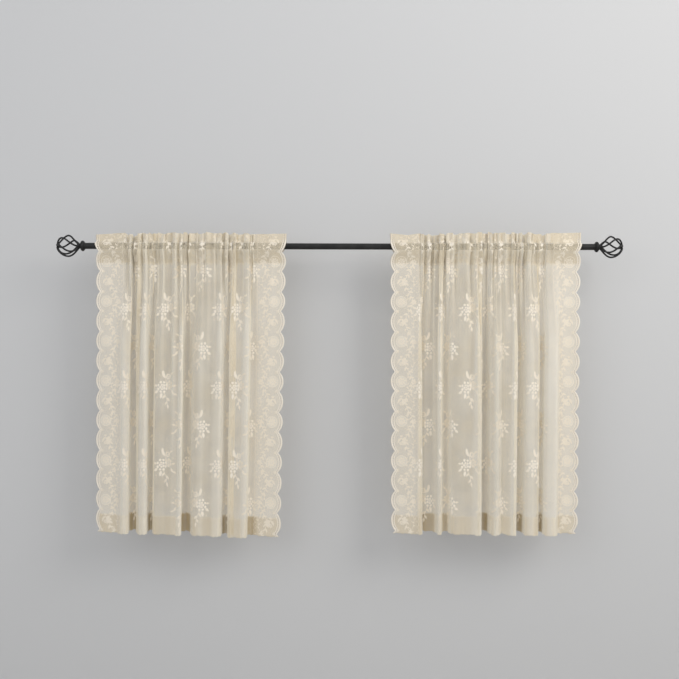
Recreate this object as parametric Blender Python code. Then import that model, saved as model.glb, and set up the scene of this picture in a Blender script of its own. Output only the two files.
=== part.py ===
# A pair of lace tier curtains gathered on one rod, whose ends are twisted wire cages.
# Metres, +Z up. The origin is on the rod's axis, half-way along it. The room is at -Y.

import math
from bisect import bisect
from collections import namedtuple

import bmesh
import bpy
from mathutils import Matrix, Vector

# Rod
ROD_RADIUS = 0.0095
ROD_HALF = 0.7755
ROD_SIDES = 40
JOINT_GAP = 0.0003  # left between two pieces that butt together

# Turned collar at each end of the rod
COLLAR_SIDES = 22
COLLAR_START = ROD_HALF + JOINT_GAP
CAGE_START = 0.7945

# Twisted wire cage at each end
CAGE_RADIUS = 0.0305  # to the middle of the wires, at the widest place
CAGE_LENGTH = 0.0675  # to the middle of the wires at the tip
NECK_RADIUS = 0.0058
WIRE_RADIUS = 0.0025
WIRE_SIDES = 6
WIRE_COUNT = 6
WIRE_TWIST = math.radians(178)
WIRE_PHASE = math.radians(20)
TIP_BALL_RADIUS = 0.0062
TIP_BALL_SET_IN = 0.0036

# Cloth, cut sizes before it is gathered
TOP_Z = 0.038
PANEL_LENGTH = 0.914
HUNG_WIDTH = 0.582
CLOTH_THICK = 0.0016
DOUBLE_THICK = 0.0030
UPPER_SEAM_DROP = 0.0235
LOWER_SEAM_DROP = 0.0900
HEM_DROP = 0.8590
HEM_STEP = 0.0030  # the thickness changes over this much of the drop

# Rod pocket
ROD_CLEARANCE = 0.0030
TUNNEL_TOP_DROP = 0.0250
TUNNEL_HIGH_DROP = 0.0305
TUNNEL_LOW_DROP = 0.0490
TUNNEL_BOTTOM_DROP = 0.0872

# Gathers in the heading, which carry on the folds below them
FLAT_STRIP = 0.085  # of each side border, which stays flat
GATHER_STEP = 0.005  # along the flat cloth
GATHER_REACH = 5  # steps to each side over which the folds' places are evened out
LEAST_GATHER = 0.28  # of hung width for each unit of flat cloth, where the folds crowd most
DEEPEST_FOLD = 0.026
FOLD_SHARE = 0.30  # of a fold's depth that the heading keeps
RUFFLE_DEPTH = 0.0045  # of the smaller ruffles between
RUFFLE_COLUMNS = 4  # the columns of points that one ruffle takes
POCKET_SHARE = 0.55  # of the heading's depth that is left where the cloth passes the rod
SETTLE_DROP = 0.28  # below the pocket, the gathers run out and the folds are full

# Scalloped side edges
SCALLOP_DEPTH = 0.0125
FIRST_NOTCH_DROP = 0.0560
SCALLOP_PITCHES = (0.0585, 0.0630)
SCALLOP_STEPS = 4
BORDER_COLUMN = 0.026  # from the edge to the first column of points inside it

# Hang
RECESS_LIFT = 0.15  # how far the hem rises, for each unit that a fold lies back
CREST_DEPTH = -0.024
LONGEST_SPAN = 0.020  # of cloth between two columns of points
SPLINE_STEPS = 10

Fold = namedtuple("Fold", "across depth")
Rise = namedtuple("Rise", "across up")
Fall = namedtuple("Fall", "share down")
Row = namedtuple("Row", "drop thick")
Turn = namedtuple("Turn", "along radius")
Panel = namedtuple("Panel", "name left_x phase folds top_line hem_line left_in right_in")

# The plan of each panel's folds from its left edge: across from that edge, and depth from the
# rod's axis, which is negative towards the room. A fold that lies over itself goes back across.
LEFT_FOLDS = (
    Fold(0.000, 0.004),
    Fold(0.034, -0.006),
    Fold(0.064, -0.008),
    Fold(0.077, -0.015),
    Fold(0.090, -0.023),
    Fold(0.103, -0.015),
    Fold(0.103, 0.003),
    Fold(0.107, 0.016),
    Fold(0.118, 0.021),
    Fold(0.128, 0.012),
    Fold(0.129, -0.006),
    Fold(0.138, -0.019),
    Fold(0.153, -0.025),
    Fold(0.164, -0.015),
    Fold(0.160, 0.003),
    Fold(0.164, 0.017),
    Fold(0.173, 0.020),
    Fold(0.180, 0.009),
    Fold(0.181, -0.008),
    Fold(0.193, -0.015),
    Fold(0.224, -0.014),
    Fold(0.250, -0.020),
    Fold(0.264, -0.026),
    Fold(0.272, -0.016),
    Fold(0.264, 0.001),
    Fold(0.267, 0.016),
    Fold(0.282, 0.023),
    Fold(0.297, 0.012),
    Fold(0.300, -0.007),
    Fold(0.314, -0.017),
    Fold(0.350, -0.016),
    Fold(0.384, -0.021),
    Fold(0.396, -0.012),
    Fold(0.395, 0.005),
    Fold(0.402, 0.015),
    Fold(0.420, 0.016),
    Fold(0.432, 0.010),
    Fold(0.426, 0.001),
    Fold(0.418, -0.008),
    Fold(0.424, -0.018),
    Fold(0.448, -0.017),
    Fold(0.468, -0.020),
    Fold(0.477, -0.010),
    Fold(0.476, 0.006),
    Fold(0.486, 0.014),
    Fold(0.510, 0.006),
    Fold(0.545, 0.001),
    Fold(0.582, -0.004),
)
RIGHT_FOLDS = (
    Fold(0.000, 0.002),
    Fold(0.040, -0.005),
    Fold(0.074, -0.011),
    Fold(0.087, -0.017),
    Fold(0.097, -0.009),
    Fold(0.089, 0.001),
    Fold(0.083, 0.011),
    Fold(0.092, 0.019),
    Fold(0.114, 0.014),
    Fold(0.134, 0.010),
    Fold(0.141, -0.004),
    Fold(0.146, -0.019),
    Fold(0.157, -0.014),
    Fold(0.157, 0.003),
    Fold(0.164, 0.013),
    Fold(0.177, 0.009),
    Fold(0.183, -0.007),
    Fold(0.196, -0.016),
    Fold(0.230, -0.016),
    Fold(0.260, -0.021),
    Fold(0.273, -0.026),
    Fold(0.280, -0.015),
    Fold(0.272, 0.001),
    Fold(0.275, 0.016),
    Fold(0.290, 0.022),
    Fold(0.304, 0.012),
    Fold(0.307, -0.006),
    Fold(0.315, -0.019),
    Fold(0.325, -0.025),
    Fold(0.334, -0.014),
    Fold(0.342, -0.004),
    Fold(0.358, -0.012),
    Fold(0.377, -0.024),
    Fold(0.388, -0.014),
    Fold(0.383, 0.002),
    Fold(0.386, 0.016),
    Fold(0.399, 0.022),
    Fold(0.411, 0.012),
    Fold(0.413, -0.006),
    Fold(0.423, -0.018),
    Fold(0.441, -0.022),
    Fold(0.456, -0.013),
    Fold(0.455, 0.004),
    Fold(0.463, 0.018),
    Fold(0.473, 0.010),
    Fold(0.474, -0.007),
    Fold(0.485, -0.020),
    Fold(0.501, -0.024),
    Fold(0.516, -0.013),
    Fold(0.519, 0.000),
    Fold(0.550, 0.003),
    Fold(0.582, -0.006),
)

# How far the heading's top edge rises above TOP_Z, across the hung panel.
LEFT_TOP = (
    Rise(0.000, -0.004),
    Rise(0.090, 0.001),
    Rise(0.100, -0.006),
    Rise(0.122, -0.006),
    Rise(0.146, 0.000),
    Rise(0.400, 0.001),
    Rise(0.450, -0.002),
    Rise(0.582, 0.000),
)
RIGHT_TOP = (
    Rise(0.000, 0.002),
    Rise(0.055, -0.004),
    Rise(0.085, 0.001),
    Rise(0.120, -0.003),
    Rise(0.180, 0.000),
    Rise(0.270, 0.003),
    Rise(0.430, 0.002),
    Rise(0.462, -0.003),
    Rise(0.490, 0.003),
    Rise(0.582, 0.005),
)

# How far the hem hangs below the cut length, at each share of the flat width.
LEFT_HEM = (
    Fall(0.00, -0.002),
    Fall(0.30, 0.000),
    Fall(0.60, 0.005),
    Fall(0.80, 0.010),
    Fall(1.00, 0.014),
)
RIGHT_HEM = (
    Fall(0.00, 0.001),
    Fall(0.30, -0.001),
    Fall(0.60, 0.001),
    Fall(1.00, 0.002),
)

PANELS = (
    Panel("panel_left", -0.744, 0.15, LEFT_FOLDS, LEFT_TOP, LEFT_HEM, 0.001, -0.016),
    Panel("panel_right", 0.154, 0.60, RIGHT_FOLDS, RIGHT_TOP, RIGHT_HEM, 0.004, -0.009),
)

# The rows of points down a panel. The first is its top edge and the last its hem's lower edge.
HEADING_ROWS = (
    Row(0.0, DOUBLE_THICK),
    Row(UPPER_SEAM_DROP, DOUBLE_THICK),
    Row(TUNNEL_HIGH_DROP, CLOTH_THICK),
    Row(TUNNEL_LOW_DROP, CLOTH_THICK),
    Row(LOWER_SEAM_DROP, DOUBLE_THICK),
)
FIELD_ROWS = (
    Row(LOWER_SEAM_DROP + HEM_STEP, CLOTH_THICK),
    Row(0.130, CLOTH_THICK),
    Row(0.165, CLOTH_THICK),
    Row(0.200, CLOTH_THICK),
    Row(0.240, CLOTH_THICK),
    Row(0.290, CLOTH_THICK),
    Row(0.350, CLOTH_THICK),
    Row(0.430, CLOTH_THICK),
    Row(0.640, CLOTH_THICK),
    Row(HEM_DROP, CLOTH_THICK),
    Row(HEM_DROP + HEM_STEP, DOUBLE_THICK),
    Row(PANEL_LENGTH, DOUBLE_THICK),
)
UPPER_SEAM, TUNNEL_HIGH, TUNNEL_LOW, LOWER_SEAM = 1, 2, 3, 4

COLLAR_PROFILE = (
    Turn(COLLAR_START, 0.0098),
    Turn(0.7780, 0.0108),
    Turn(0.7800, 0.0140),
    Turn(0.7828, 0.0160),
    Turn(0.7858, 0.0160),
    Turn(0.7884, 0.0138),
    Turn(0.7904, 0.0100),
    Turn(0.7922, 0.0084),
    Turn(CAGE_START - JOINT_GAP, 0.0084),
)
HUB_PROFILE = (
    Turn(0.0000, 0.0080),
    Turn(0.0030, 0.0092),
    Turn(0.0052, 0.0086),
    Turn(0.0068, 0.0050),
)


def clear_scene():
    for item in list(bpy.data.objects):
        bpy.data.objects.remove(item, do_unlink=True)


def make_material(name, colour, roughness, metallic):
    material = bpy.data.materials.new(name)
    material.use_nodes = True
    shader = material.node_tree.nodes["Principled BSDF"]
    shader.inputs["Base Color"].default_value = (*colour, 1.0)
    shader.inputs["Roughness"].default_value = roughness
    shader.inputs["Metallic"].default_value = metallic
    return material


def add_object(name, mesh_builder, material, smooth_angle=None):
    """An object from a bmesh, with its faces turned outwards."""
    bmesh.ops.recalc_face_normals(mesh_builder, faces=mesh_builder.faces)
    mesh = bpy.data.meshes.new(name)
    mesh_builder.to_mesh(mesh)
    mesh_builder.free()
    item = bpy.data.objects.new(name, mesh)
    bpy.context.collection.objects.link(item)
    mesh.materials.append(material)
    if smooth_angle is not None:
        mesh.shade_smooth()
        mesh.set_sharp_from_angle(angle=smooth_angle)
    return item


def between(rows, key, place):
    """The second column of a two-column table, read in a straight line at a place."""
    for low, high in zip(rows, rows[1:]):
        if place <= high[0]:
            break
    share = (place - low[0]) / (high[0] - low[0])
    share = min(max(share, 0.0), 1.0)
    return getattr(low, key) * (1 - share) + getattr(high, key) * share


def ease(share):
    """A smooth step from 0 to 1."""
    share = min(max(share, 0.0), 1.0)
    return share * share * (3 - 2 * share)


class PlanLine:
    """A smooth curve in plan through a panel's fold points, read by the distance along it."""

    def __init__(self, folds):
        ends = [Vector((fold.across, fold.depth)) for fold in folds]
        ends.insert(0, 2 * ends[0] - ends[1])
        ends.append(2 * ends[-1] - ends[-2])
        self.points = []
        for i in range(1, len(ends) - 2):
            self.points += self.span(*ends[i - 1 : i + 3])
        self.points.append(ends[-2])
        self.marks = [0.0]
        for a, b in zip(self.points, self.points[1:]):
            self.marks.append(self.marks[-1] + (b - a).length)
        self.length = self.marks[-1]
        self.fold_marks = self.marks[::SPLINE_STEPS]

    @staticmethod
    def span(before, start, end, after):
        """A centripetal Catmull-Rom span from start to end, between two more points."""
        first = math.sqrt((start - before).length)
        second = first + math.sqrt((end - start).length)
        third = second + math.sqrt((after - end).length)
        points = []
        for step in range(SPLINE_STEPS):
            t = first + (second - first) * step / SPLINE_STEPS
            a = before.lerp(start, t / first)
            b = start.lerp(end, (t - first) / (second - first))
            c = end.lerp(after, (t - second) / (third - second))
            d = a.lerp(b, t / second)
            e = b.lerp(c, (t - first) / (third - first))
            points.append(d.lerp(e, (t - first) / (second - first)))
        return points

    def at(self, distance):
        i = min(max(bisect(self.marks, distance) - 1, 0), len(self.points) - 2)
        share = (distance - self.marks[i]) / (self.marks[i + 1] - self.marks[i])
        return self.points[i].lerp(self.points[i + 1], share)


def scallop_notches():
    """The drops of the notches between scallops, from above the top edge to below the hem."""
    notches = [FIRST_NOTCH_DROP - SCALLOP_PITCHES[1]]
    count = 0
    while notches[-1] < PANEL_LENGTH:
        notches.append(notches[-1] + SCALLOP_PITCHES[(count + 1) % 2])
        count += 1
    return notches


NOTCHES = scallop_notches()


def scallop(drop):
    """How far the scalloped edge lies in from the cloth's widest line."""
    i = min(max(bisect(NOTCHES, drop) - 1, 0), len(NOTCHES) - 2)
    half = (NOTCHES[i + 1] - NOTCHES[i]) / 2
    off = min(abs(drop - NOTCHES[i] - half), half)
    radius = (half * half + SCALLOP_DEPTH**2) / (2 * SCALLOP_DEPTH)
    return radius - math.sqrt(radius * radius - off * off)


class Cloth:
    """One hung panel: where each point of the flat cloth lies, and which way it faces."""

    def __init__(self, panel):
        self.panel = panel
        self.line = PlanLine(panel.folds)
        self.width = self.line.length
        self.columns = self.spread_columns()
        self.gather_step, self.gathers = self.spread_gathers()

    def spread_gathers(self):
        """Steps along the flat cloth, and where each lies in the heading, above its own fold."""
        steps = round(self.width / GATHER_STEP)
        step = self.width / steps
        places = [self.line.at(i * step).x for i in range(steps + 1)]
        flat = math.ceil(FLAT_STRIP / step)
        slopes = []
        for i in range(flat, steps - flat):
            low, high = i - GATHER_REACH, i + 1 + GATHER_REACH
            slopes.append(max(LEAST_GATHER, (places[high] - places[low]) / (high - low) / step))
        even = (HUNG_WIDTH - 2 * flat * step) / (sum(slopes) * step)
        gathers = [0.0]
        for slope in [1.0] * flat + [slope * even for slope in slopes] + [1.0] * flat:
            gathers.append(gathers[-1] + slope * step)
        return step, gathers

    def spread_columns(self):
        """The columns of points across the flat cloth: one at each fold point, or closer."""
        columns = [0.0, BORDER_COLUMN]
        inner_end = self.width - BORDER_COLUMN
        marks = [m for m in self.line.fold_marks if 2 * BORDER_COLUMN * 0.75 < m]
        marks = [m for m in marks if m < self.width - 2 * BORDER_COLUMN * 0.75]
        for mark in marks + [inner_end]:
            start = columns[-1]
            parts = math.ceil((mark - start) / LONGEST_SPAN)
            columns += [start + (mark - start) * (i + 1) / parts for i in range(parts)]
        return columns + [self.width]

    def gathered(self, u):
        """Where the gathered heading passes in plan, at u across the flat cloth."""
        k = min(max(int(u / self.gather_step), 0), len(self.gathers) - 2)
        way = u / self.gather_step - k
        across = self.gathers[k] * (1 - way) + self.gathers[k + 1] * way
        share = (u - FLAT_STRIP) / (self.width - 2 * FLAT_STRIP)
        inside = min(max(share, 0.0), 1.0)
        full = 0.12 + 0.88 * ease(inside / 0.05) * ease((1 - inside) / 0.05)
        i = min(max(bisect(self.columns, u) - 1, 0), len(self.columns) - 2)
        low, high = self.columns[i], self.columns[i + 1]
        turns = (i + (u - low) / (high - low)) / RUFFLE_COLUMNS
        size = 0.80 + 0.20 * math.sin(math.tau * (3.1 * share + self.panel.phase))
        ruffle = RUFFLE_DEPTH * full * size * math.sin(math.tau * turns)
        return Vector((across, FOLD_SHARE * self.line.at(u).y + ruffle))

    def plan(self, u, drop):
        settled = ease((drop - LOWER_SEAM_DROP) / SETTLE_DROP)
        place = self.gathered(u)
        place.y *= 1 - settled
        place = place.lerp(self.line.at(u), settled)
        share = u / self.width
        pull = self.panel.left_in * (1 - share) + self.panel.right_in * share
        place.x += self.panel.left_x + pull * drop / PANEL_LENGTH
        return place

    def facing(self, u, drop):
        """The unit vector in plan that points from the cloth's room side to its back."""
        reach = 0.003
        way = self.plan(u + reach, drop) - self.plan(u - reach, drop)
        return Vector((-way.y, way.x, 0.0)).normalized()

    def height(self, u, drop, depth):
        rise = between(self.panel.top_line, "up", self.gathered(u).x)
        rise *= max(0.0, 1 - drop / UPPER_SEAM_DROP)
        low = (drop - LOWER_SEAM_DROP) / (PANEL_LENGTH - LOWER_SEAM_DROP)
        low = max(0.0, low)
        fall = between(self.panel.hem_line, "down", u / self.width)
        lift = RECESS_LIFT * (depth - CREST_DEPTH)
        return TOP_Z - drop + rise + (lift - fall) * low * low

    def point(self, u, drop, layer=0.0, off=0.0):
        """A point of the cloth: layer moves it in Y round the rod, off along its facing."""
        place = self.plan(u, drop)
        if layer:
            place.y = self.gathered(u).y * POCKET_SHARE + layer
        z = self.height(u, drop, place.y)
        return Vector((place.x, place.y, z)) + self.facing(u, drop) * off


# Half the depth of the pocket, to the middle of each of its two layers.
HEADING_DEPTH = FOLD_SHARE * DEEPEST_FOLD + RUFFLE_DEPTH
POCKET_HALF = ROD_RADIUS + ROD_CLEARANCE + CLOTH_THICK / 2 + HEADING_DEPTH * POCKET_SHARE


def scalloped_rows(steps):
    """The field's rows, and that many more down each scallop from its notch."""
    drops = [row.drop for row in FIELD_ROWS]
    for low, high in zip(NOTCHES, NOTCHES[1:]):
        for step in range(steps):
            drop = low + (high - low) * step / steps
            inside = LOWER_SEAM_DROP + HEM_STEP < drop < PANEL_LENGTH
            if inside and min(abs(drop - row.drop) for row in FIELD_ROWS) > HEM_STEP:
                drops.append(drop)
    return [Row(drop, between(FIELD_ROWS, "thick", drop)) for drop in sorted(drops)]


class PanelMesh:
    """The closed solid of one panel: a room side, a back, and the pocket's tunnel."""

    def __init__(self, panel):
        self.cloth = Cloth(panel)
        self.mesh = bmesh.new()
        self.last = len(self.cloth.columns) - 1

    def across(self, column, drop):
        """The place of a column on the flat cloth. The first and last follow the scallops."""
        if column == 0:
            return scallop(drop)
        if column == self.last:
            return self.cloth.width - scallop(drop)
        return self.cloth.columns[column]

    def vertex(self, column, drop, layer=0.0, off=0.0):
        u = self.across(column, drop)
        return self.mesh.verts.new(self.cloth.point(u, drop, layer, off))

    def strip(self, *corners):
        """A four-sided patch as two triangles, split the same way on each side of the cloth."""
        a, b, c, d = corners
        self.mesh.faces.new((a, b, c))
        self.mesh.faces.new((a, c, d))

    def heading(self, column):
        """One column of the heading and pocket: its room side, its back and the tunnel."""
        front, back = [], []
        for i, row in enumerate(HEADING_ROWS):
            layer = POCKET_HALF if i in (TUNNEL_HIGH, TUNNEL_LOW) else 0.0
            front.append(self.vertex(column, row.drop, -layer, -row.thick / 2))
            back.append(self.vertex(column, row.drop, layer, row.thick / 2))
        half = CLOTH_THICK / 2
        tunnel = [
            self.vertex(column, TUNNEL_TOP_DROP),
            self.vertex(column, TUNNEL_HIGH_DROP, -POCKET_HALF, half),
            self.vertex(column, TUNNEL_LOW_DROP, -POCKET_HALF, half),
            self.vertex(column, TUNNEL_BOTTOM_DROP),
            self.vertex(column, TUNNEL_LOW_DROP, POCKET_HALF, -half),
            self.vertex(column, TUNNEL_HIGH_DROP, POCKET_HALF, -half),
        ]
        return front, back, tunnel

    def field(self, column, rows):
        """One column below the pocket, at the given rows."""
        front = [self.vertex(column, row.drop, 0.0, -row.thick / 2) for row in rows]
        back = [self.vertex(column, row.drop, 0.0, row.thick / 2) for row in rows]
        return front, back

    def join(self, this, after):
        """The patches between two neighbouring columns, one of which may have more rows."""
        fine, coarse = (this, after) if len(this[1]) > len(after[1]) else (after, this)
        marks = [fine[1].index(row) for row in coarse[1]]
        for side in (0, 1):
            outer, inner = fine[0][side], coarse[0][side]
            for i in range(len(inner) - 1):
                stretch = outer[marks[i] : marks[i + 1] + 1]
                middle = len(stretch) // 2
                for j in range(len(stretch) - 1):
                    corner = inner[i] if j < middle else inner[i + 1]
                    self.mesh.faces.new((corner, stretch[j], stretch[j + 1]))
                self.mesh.faces.new((inner[i], stretch[middle], inner[i + 1]))

    def close_side(self, heading, field):
        """The thin wall down one side edge, open where the tunnel comes out."""
        front, back, tunnel = heading
        top, front_high, front_low, bottom, back_low, back_high = tunnel
        self.strip(front[0], front[1], back[1], back[0])
        self.mesh.faces.new((front[UPPER_SEAM], top, back[UPPER_SEAM]))
        self.strip(front[UPPER_SEAM], front[TUNNEL_HIGH], front_high, top)
        self.strip(back[UPPER_SEAM], back[TUNNEL_HIGH], back_high, top)
        self.strip(front[TUNNEL_HIGH], front[TUNNEL_LOW], front_low, front_high)
        self.strip(back[TUNNEL_HIGH], back[TUNNEL_LOW], back_low, back_high)
        self.strip(front[TUNNEL_LOW], front[LOWER_SEAM], bottom, front_low)
        self.strip(back[TUNNEL_LOW], back[LOWER_SEAM], bottom, back_low)
        self.mesh.faces.new((front[LOWER_SEAM], bottom, back[LOWER_SEAM]))
        outer = [front[LOWER_SEAM]] + field[0]
        inner = [back[LOWER_SEAM]] + field[1]
        for i in range(len(outer) - 1):
            self.strip(outer[i], outer[i + 1], inner[i + 1], inner[i])

    def build(self, material):
        edge_rows, border_rows = scalloped_rows(SCALLOP_STEPS), scalloped_rows(2)
        rows = [FIELD_ROWS] * (self.last + 1)
        rows[0] = rows[-1] = edge_rows
        rows[1] = rows[-2] = border_rows
        headings = [self.heading(column) for column in range(self.last + 1)]
        fields = [self.field(column, rows[column]) for column in range(self.last + 1)]
        for k in range(self.last):
            for side in (0, 1):
                this = headings[k][side] + [fields[k][side][0]]
                after = headings[k + 1][side] + [fields[k + 1][side][0]]
                for i in range(len(this) - 1):
                    self.strip(this[i], after[i], after[i + 1], this[i + 1])
            self.join((fields[k], rows[k]), (fields[k + 1], rows[k + 1]))
            this, after = headings[k][2], headings[k + 1][2]
            for i in range(len(this)):
                j = (i + 1) % len(this)
                self.strip(this[i], after[i], after[j], this[j])
            this, after = headings[k], headings[k + 1]
            self.strip(this[0][0], after[0][0], after[1][0], this[1][0])
            this, after = fields[k], fields[k + 1]
            self.strip(this[0][-1], after[0][-1], after[1][-1], this[1][-1])
        self.close_side(headings[0], fields[0])
        self.close_side(headings[-1], fields[-1])
        return add_object(self.cloth.panel.name, self.mesh, material, math.radians(50))


def build_rod(material):
    builder = bmesh.new()
    bmesh.ops.create_cone(
        builder,
        cap_ends=True,
        segments=ROD_SIDES,
        radius1=ROD_RADIUS,
        radius2=ROD_RADIUS,
        depth=2 * ROD_HALF,
        matrix=Matrix.Rotation(math.pi / 2, 4, "Y"),
    )
    add_object("rod", builder, material, math.radians(30))


def add_turned(builder, profile, start, side, sides):
    """A closed turned form about the rod's axis, from a table of places and radii."""
    rings = []
    for turn in profile:
        x = side * (start + turn.along)
        ring = []
        for k in range(sides):
            angle = math.tau * k / sides
            y, z = turn.radius * math.cos(angle), turn.radius * math.sin(angle)
            ring.append(builder.verts.new((x, y, z)))
        rings.append(ring)
    for low, high in zip(rings, rings[1:]):
        for k in range(sides):
            j = (k + 1) % sides
            builder.faces.new((low[k], low[j], high[j], high[k]))
    builder.faces.new(rings[0])
    builder.faces.new(rings[-1])


def cage_profile(share):
    """Along and radius of the cage's outline, from the neck at 0 to the tip at 1."""
    widest = CAGE_LENGTH - CAGE_RADIUS
    if share < 0.5:
        swell = math.sin(math.pi * share) ** 1.2
        return Turn(widest * share * 2, NECK_RADIUS + (CAGE_RADIUS - NECK_RADIUS) * swell)
    angle = math.pi * (share - 0.5)
    return Turn(widest + CAGE_RADIUS * math.sin(angle), CAGE_RADIUS * math.cos(angle))


def wire_points(number, side):
    """The middle line of one bent wire, from inside the hub to inside the tip."""
    points = []
    last = 0.955
    steps = 12
    for i in range(steps + 1):
        turn = cage_profile(0.03 + (last - 0.03) * i / steps)
        angle = WIRE_PHASE + math.tau * number / WIRE_COUNT
        angle += WIRE_TWIST * turn.along / CAGE_LENGTH
        y, z = -turn.radius * math.cos(angle), turn.radius * math.sin(angle)
        points.append(Vector((side * (CAGE_START + turn.along), y, z)))
    return points


def add_tube(builder, points, radius, sides):
    """A closed round tube along a line of points."""
    rings = []
    across = Vector((0, 0, 1))
    for i, point in enumerate(points):
        before, after = points[max(i - 1, 0)], points[min(i + 1, len(points) - 1)]
        way = (after - before).normalized()
        across = (across - way * across.dot(way)).normalized()
        other = way.cross(across)
        ring = []
        for k in range(sides):
            angle = math.tau * k / sides
            reach = across * math.cos(angle) + other * math.sin(angle)
            ring.append(builder.verts.new(point + reach * radius))
        rings.append(ring)
    for low, high in zip(rings, rings[1:]):
        for k in range(sides):
            j = (k + 1) % sides
            builder.faces.new((low[k], low[j], high[j], high[k]))
    builder.faces.new(rings[0])
    builder.faces.new(rings[-1])


def join_guide(item, guide):
    """Adds a hidden guide's form to an object."""
    guide.hide_render = True
    guide.display_type = "WIRE"
    union = item.modifiers.new(guide.name, "BOOLEAN")
    union.operation = "UNION"
    union.object = guide


def build_finial(word, side, material):
    collar = bmesh.new()
    add_turned(collar, COLLAR_PROFILE, 0.0, side, COLLAR_SIDES)
    add_object(f"finial_collar_{word}", collar, material, math.radians(40))

    hub = bmesh.new()
    add_turned(hub, HUB_PROFILE, CAGE_START, side, 18)
    cage = add_object(f"finial_cage_{word}", hub, material, math.radians(40))

    ball = bmesh.new()
    place = Vector((side * (CAGE_START + CAGE_LENGTH - TIP_BALL_SET_IN), 0, 0))
    bmesh.ops.create_uvsphere(
        ball,
        u_segments=12,
        v_segments=8,
        radius=TIP_BALL_RADIUS,
        matrix=Matrix.Translation(place) @ Matrix.Rotation(math.pi / 2, 4, "Y"),
    )
    join_guide(cage, add_object(f"guide_tip_{word}", ball, material))
    for number in range(WIRE_COUNT):
        wire = bmesh.new()
        add_tube(wire, wire_points(number, side), WIRE_RADIUS, WIRE_SIDES)
        join_guide(cage, add_object(f"guide_wire_{word}_{number + 1}", wire, material))


def main():
    clear_scene()
    lace = make_material("ivory lace", (0.80, 0.73, 0.61), 0.85, 0.0)
    black = make_material("black painted steel", (0.012, 0.012, 0.013), 0.38, 0.0)
    for panel in PANELS:
        PanelMesh(panel).build(lace)
    build_rod(black)
    build_finial("left", -1, black)
    build_finial("right", 1, black)


main()
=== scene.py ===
import math
import random

import bpy
import numpy as np
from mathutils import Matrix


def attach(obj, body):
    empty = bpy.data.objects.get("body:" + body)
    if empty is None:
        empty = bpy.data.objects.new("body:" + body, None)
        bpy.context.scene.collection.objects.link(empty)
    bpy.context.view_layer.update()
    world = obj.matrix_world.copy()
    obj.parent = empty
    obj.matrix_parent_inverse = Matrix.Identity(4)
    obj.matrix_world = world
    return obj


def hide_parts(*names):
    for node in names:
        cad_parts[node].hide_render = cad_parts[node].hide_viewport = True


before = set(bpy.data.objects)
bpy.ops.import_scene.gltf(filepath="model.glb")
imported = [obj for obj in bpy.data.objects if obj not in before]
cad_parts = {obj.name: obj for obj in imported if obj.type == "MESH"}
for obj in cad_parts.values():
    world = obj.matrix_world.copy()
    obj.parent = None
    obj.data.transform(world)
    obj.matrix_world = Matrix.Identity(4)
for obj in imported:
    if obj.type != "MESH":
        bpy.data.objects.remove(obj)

tau = math.tau


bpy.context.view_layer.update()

# Camera, floor, backdrop and light. The camera looks straight at the rod from 2.7 m.

stage = {
    "cameraPlace": (0.0, -2.7, -0.284),
    "cameraRoll": -0.0022, "lens": 46.9,
    "wallY": 0.15, "wallHalf": 1.8, "wallTop": 1.15, "floorZ": -1.45, "floorHalf": 4.0,
    "wallColour": (0.59, 0.59, 0.585, 1), "floorColour": (0.62, 0.605, 0.58, 1),
    "worldColour": (0.93, 0.95, 1.0, 1), "worldStrength": 0.64,
    # Place, aim, size, power and colour of each lamp.
    "lamps": (
        ("key", (2.2, -2.1, 1.35), (0.1, 0.0, -0.05), 1.7, 47.0, (1.0, 0.98, 0.95)),
        ("fill", (-1.6, -2.8, 0.9), (0.0, 0.0, 0.0), 2.4, 22.0, (0.97, 0.98, 1.0)),
        ("top", (0.2, -0.7, 2.2), (0.0, 0.0, -0.4), 1.2, 4.0, (1.0, 1.0, 1.0)),
    ),
}


def newMaterial(name):
    material = bpy.data.materials.new(name)
    material.use_nodes = True
    nodes = material.node_tree.nodes
    nodes.clear()
    shader = nodes.new("ShaderNodeBsdfPrincipled")
    output = nodes.new("ShaderNodeOutputMaterial")
    material.node_tree.links.new(shader.outputs["BSDF"], output.inputs["Surface"])
    return material, shader


def newPaint(name, colour, roughness):
    material, shader = newMaterial(name)
    shader.inputs["Base Color"].default_value = colour
    shader.inputs["Roughness"].default_value = roughness
    return material, shader


def newObject(name, verts, faces, material):
    mesh = bpy.data.meshes.new(name)
    mesh.from_pydata([tuple(v) for v in verts], [], faces)
    mesh.materials.append(material)
    mesh.update()
    mesh.polygons.foreach_set("use_smooth", [True] * len(mesh.polygons))
    item = bpy.data.objects.new(name, mesh)
    bpy.context.scene.collection.objects.link(item)
    return item


def writeUv(mesh, name, uv):
    loops = np.empty(len(mesh.loops), dtype=np.int32)
    mesh.loops.foreach_get("vertex_index", loops)
    mesh.uv_layers.new(name=name).data.foreach_set("uv", uv[loops].ravel())


def writeValues(mesh, name, values):
    mesh.attributes.new(name, "FLOAT", "POINT").data.foreach_set("value", values)


def aim(item, target):
    place = np.array(item.location)
    way = np.array(target) - place
    flat = math.hypot(way[0], way[1])
    item.rotation_euler = (math.atan2(flat, -way[2]), 0, math.atan2(-way[0], way[1]))


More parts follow.
